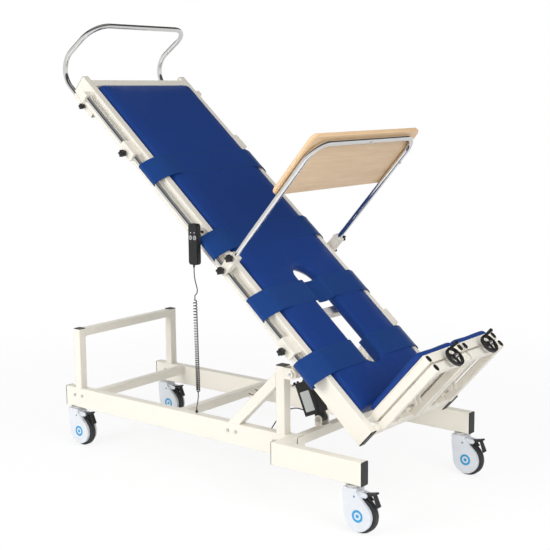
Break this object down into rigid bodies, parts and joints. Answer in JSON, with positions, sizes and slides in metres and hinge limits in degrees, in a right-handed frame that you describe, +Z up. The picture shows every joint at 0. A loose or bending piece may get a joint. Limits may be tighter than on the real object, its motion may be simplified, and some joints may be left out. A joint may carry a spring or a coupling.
{
  "type": "physiotherapy tilt table",
  "caption": "Electric physiotherapy tilt table: padded slotted bed with straps, grip rails, desk and hinged footrest on a wheeled base frame.",
  "frame": {"origin": "on the floor under the centre of the table's bounding box at the stored tilt", "axes": "+Z up; X along the table with the head end towards -X and the foot end towards +X; -Y is the patient's right side with the handset"},
  "size_m": [2.114, 0.932, 2.0594],
  "materials": {
    "cream_paint": "semi-gloss powder coat",
    "black_plastic": "satin moulded plastic",
    "black_cord": "matt cord jacket",
    "chrome_tube": "polished chrome plating",
    "steel_bolt": "zinc-plated steel",
    "blue_vinyl": "soft grained vinyl over foam",
    "blue_webbing": "coated fabric strap",
    "beech_board": "clear-lacquered beech-effect board",
    "white_laminate": "white laminated board",
    "grey_button": "satin rubber-touch button",
    "caster_shell": "light grey moulded plastic",
    "black_tyre": "solid rubber tread"
  },
  "bodies": {
    "base": {"base_side_rails": "cream_paint", "base_cross_tubes": "cream_paint", "rest_frame": "cream_paint", "pivot_posts": "cream_paint", "post_braces": "cream_paint", "base_end_caps": "black_plastic", "base_bolts": "steel_bolt", "caster_stems": "steel_bolt", "cord_gland": "black_plastic", "actuator_cable": "black_cord", "cord_coil": "black_cord", "cord_lead_bottom": "black_cord"},
    "actuator": {"actuator_housing": "black_plastic"},
    "actuator_rod": {"actuator_rod": "chrome_tube"},
    "bed": {"bed_side_rails": "cream_paint", "bed_cross_tubes": "cream_paint", "deck_board": "white_laminate", "cushion": "blue_vinyl", "straps": "blue_webbing", "grip_rails": "chrome_tube", "rail_brackets": "cream_paint", "bed_end_caps": "black_plastic", "footrest_frame": "cream_paint"},
    "rail_knobs_upper": {"rail_knobs_upper": "black_plastic"},
    "rail_knobs_lower": {"rail_knobs_lower": "black_plastic"},
    "desk_clamps": {"desk_clamps": "cream_paint"},
    "desk": {"desk_tube": "chrome_tube", "desk_top": "beech_board"},
    "desk_clamp_knobs": {"desk_clamp_knobs": "black_plastic"},
    "desk_leg_knobs": {"desk_leg_knobs": "black_plastic"},
    "push_handle": {"push_handle": "chrome_tube"},
    "handle_knobs": {"handle_knobs": "black_plastic"},
    "handset": {"handset_case": "black_plastic", "cord_lead_top": "black_cord"},
    "handset_button_up": {"handset_button_up": "grey_button"},
    "handset_button_down": {"handset_button_down": "grey_button"},
    "caster_rear_right": {"caster_rear_right_housing": "caster_shell"},
    "caster_rear_right_wheel": {"caster_rear_right_wheel": "black_tyre"},
    "caster_rear_right_pedal": {"caster_rear_right_pedal": "black_plastic"},
    "caster_rear_left": {"caster_rear_left_housing": "caster_shell"},
    "caster_rear_left_wheel": {"caster_rear_left_wheel": "black_tyre"},
    "caster_rear_left_pedal": {"caster_rear_left_pedal": "black_plastic"},
    "caster_front_right": {"caster_front_right_housing": "caster_shell"},
    "caster_front_right_wheel": {"caster_front_right_wheel": "black_tyre"},
    "caster_front_right_pedal": {"caster_front_right_pedal": "black_plastic"},
    "caster_front_left": {"caster_front_left_housing": "caster_shell"},
    "caster_front_left_wheel": {"caster_front_left_wheel": "black_tyre"},
    "caster_front_left_pedal": {"caster_front_left_pedal": "black_plastic"},
    "foot_pedal_right": {"foot_pedal_right": "cream_paint", "foot_pad_right": "blue_vinyl"},
    "pedal_nut_right": {"pedal_nut_right": "black_plastic"},
    "pedal_screw_right": {"pedal_screw_right": "chrome_tube", "handwheel_right": "black_plastic"},
    "foot_pedal_left": {"foot_pedal_left": "cream_paint", "foot_pad_left": "blue_vinyl"},
    "pedal_nut_left": {"pedal_nut_left": "black_plastic"},
    "pedal_screw_left": {"pedal_screw_left": "chrome_tube", "handwheel_left": "black_plastic"}
  },
  "joints": [
    {"name": "bed_tilt", "type": "hinge", "parent": "base", "child": "bed", "pos_m": [0.362, 0, 0.562], "axis": [0, 1, 0], "range_deg": [-41.4, 43.6], "deforming": ["cord_coil"]},
    {"name": "actuator_swing", "type": "hinge", "parent": "base", "child": "actuator", "pos_m": [0.362, -0.125, 0.322], "axis": [0, 1, 0], "range_deg": [-18.8, 19.8]},
    {"name": "rod_swing", "type": "hinge", "parent": "bed", "child": "actuator_rod", "pos_m": [0.20519, -0.125, 0.68958], "axis": [0, 1, 0], "range_deg": [-24.4, 23.2]},
    {"name": "caster_rear_right_swivel", "type": "hinge", "parent": "base", "child": "caster_rear_right", "pos_m": [-1.003, -0.322, 0.15], "axis": [0, 0, 1], "continuous": true},
    {"name": "caster_rear_right_roll", "type": "hinge", "parent": "caster_rear_right", "child": "caster_rear_right_wheel", "pos_m": [-0.964, -0.322, 0.075], "axis": [0, 1, 0], "continuous": true},
    {"name": "caster_rear_right_brake", "type": "hinge", "parent": "caster_rear_right", "child": "caster_rear_right_pedal", "pos_m": [-0.937, -0.322, 0.16], "axis": [0, 1, 0], "range_deg": [0, 8]},
    {"name": "caster_rear_left_swivel", "type": "hinge", "parent": "base", "child": "caster_rear_left", "pos_m": [-1.003, 0.322, 0.15], "axis": [0, 0, 1], "continuous": true},
    {"name": "caster_rear_left_roll", "type": "hinge", "parent": "caster_rear_left", "child": "caster_rear_left_wheel", "pos_m": [-0.964, 0.322, 0.075], "axis": [0, 1, 0], "continuous": true},
    {"name": "caster_rear_left_brake", "type": "hinge", "parent": "caster_rear_left", "child": "caster_rear_left_pedal", "pos_m": [-0.937, 0.322, 0.16], "axis": [0, 1, 0], "range_deg": [0, 8]},
    {"name": "caster_front_right_swivel", "type": "hinge", "parent": "base", "child": "caster_front_right", "pos_m": [0.74, -0.435, 0.15], "axis": [0, 0, 1], "continuous": true},
    {"name": "caster_front_right_roll", "type": "hinge", "parent": "caster_front_right", "child": "caster_front_right_wheel", "pos_m": [0.779, -0.435, 0.075], "axis": [0, 1, 0], "continuous": true},
    {"name": "caster_front_right_brake", "type": "hinge", "parent": "caster_front_right", "child": "caster_front_right_pedal", "pos_m": [0.806, -0.435, 0.16], "axis": [0, 1, 0], "range_deg": [0, 8]},
    {"name": "caster_front_left_swivel", "type": "hinge", "parent": "base", "child": "caster_front_left", "pos_m": [0.74, 0.435, 0.15], "axis": [0, 0, 1], "continuous": true},
    {"name": "caster_front_left_roll", "type": "hinge", "parent": "caster_front_left", "child": "caster_front_left_wheel", "pos_m": [0.779, 0.435, 0.075], "axis": [0, 1, 0], "continuous": true},
    {"name": "caster_front_left_brake", "type": "hinge", "parent": "caster_front_left", "child": "caster_front_left_pedal", "pos_m": [0.806, 0.435, 0.16], "axis": [0, 1, 0], "range_deg": [0, 8]},
    {"name": "rail_knobs_upper_turn", "type": "hinge", "parent": "bed", "child": "rail_knobs_upper", "pos_m": [-0.53443, 0, 1.46563], "axis": [0, 1, 0], "continuous": true},
    {"name": "rail_knobs_lower_turn", "type": "hinge", "parent": "bed", "child": "rail_knobs_lower", "pos_m": [0.3657, 0, 0.67205], "axis": [0, 1, 0], "continuous": true},
    {"name": "desk_along_rails", "type": "slide", "parent": "bed", "child": "desk_clamps", "axis": [0.7501, 0, -0.6613], "range_m": [-0.04, 0.145]},
    {"name": "desk_lift", "type": "slide", "parent": "desk_clamps", "child": "desk", "axis": [0.6613, 0, 0.7501], "range_m": [0, 0.035]},
    {"name": "desk_clamp_knobs_turn", "type": "hinge", "parent": "desk_clamps", "child": "desk_clamp_knobs", "pos_m": [0.0409, 0, 0.98107], "axis": [0, 1, 0], "continuous": true},
    {"name": "desk_leg_knobs_turn", "type": "hinge", "parent": "desk_clamps", "child": "desk_leg_knobs", "pos_m": [0.09116, 0, 1.03808], "axis": [0, 1, 0], "continuous": true},
    {"name": "push_handle_reach", "type": "slide", "parent": "bed", "child": "push_handle", "axis": [0.7501, 0, -0.6613], "range_m": [-0.08, 0.03]},
    {"name": "handle_knobs_turn", "type": "hinge", "parent": "bed", "child": "handle_knobs", "pos_m": [-0.8629, 0, 1.67522], "axis": [0, 1, 0], "continuous": true},
    {"name": "handset_swing", "type": "hinge", "parent": "bed", "child": "handset", "pos_m": [-0.108, -0.38, 1.11234], "axis": [0, 1, 0], "range_deg": [0, 41.4]},
    {"name": "handset_up_press", "type": "slide", "parent": "handset", "child": "handset_button_up", "axis": [0, 1, 0], "range_m": [0, 0.0015], "stiffness_N_per_m": 400},
    {"name": "handset_down_press", "type": "slide", "parent": "handset", "child": "handset_button_down", "axis": [0, 1, 0], "range_m": [0, 0.0015], "stiffness_N_per_m": 400},
    {"name": "foot_pedal_right_lift", "type": "hinge", "parent": "bed", "child": "foot_pedal_right", "pos_m": [0.75118, -0.144, 0.41219], "axis": [0, -1, 0], "range_deg": [0, 20]},
    {"name": "pedal_nut_right_travel", "type": "slide", "parent": "bed", "child": "pedal_nut_right", "axis": [0.7053, 0, 0.7089], "range_m": [-0.0005, 0.0605]},
    {"name": "pedal_screw_right_spin", "type": "hinge", "parent": "bed", "child": "pedal_screw_right", "pos_m": [0.75735, -0.144, 0.42675], "axis": [0.7053, 0, 0.7089], "range_deg": [-2, 1082]},
    {"name": "foot_pedal_left_lift", "type": "hinge", "parent": "bed", "child": "foot_pedal_left", "pos_m": [0.75118, 0.144, 0.41219], "axis": [0, -1, 0], "range_deg": [0, 20]},
    {"name": "pedal_nut_left_travel", "type": "slide", "parent": "bed", "child": "pedal_nut_left", "axis": [0.7053, 0, 0.7089], "range_m": [-0.0005, 0.0605]},
    {"name": "pedal_screw_left_spin", "type": "hinge", "parent": "bed", "child": "pedal_screw_left", "pos_m": [0.75735, 0.144, 0.42675], "axis": [0.7053, 0, 0.7089], "range_deg": [-2, 1082]}
  ],
  "couplings": [
    {"joint": "actuator_swing", "follows": "bed_tilt", "ratio": 0.446},
    {"joint": "rod_swing", "follows": "bed_tilt", "ratio": -0.554},
    {"joint": "pedal_nut_right_travel", "follows": "foot_pedal_right_lift", "m_per_rad": 0.17189},
    {"joint": "pedal_screw_right_spin", "follows": "foot_pedal_right_lift", "ratio": 54},
    {"joint": "pedal_nut_left_travel", "follows": "foot_pedal_left_lift", "m_per_rad": 0.17189},
    {"joint": "pedal_screw_left_spin", "follows": "foot_pedal_left_lift", "ratio": 54}
  ]
}
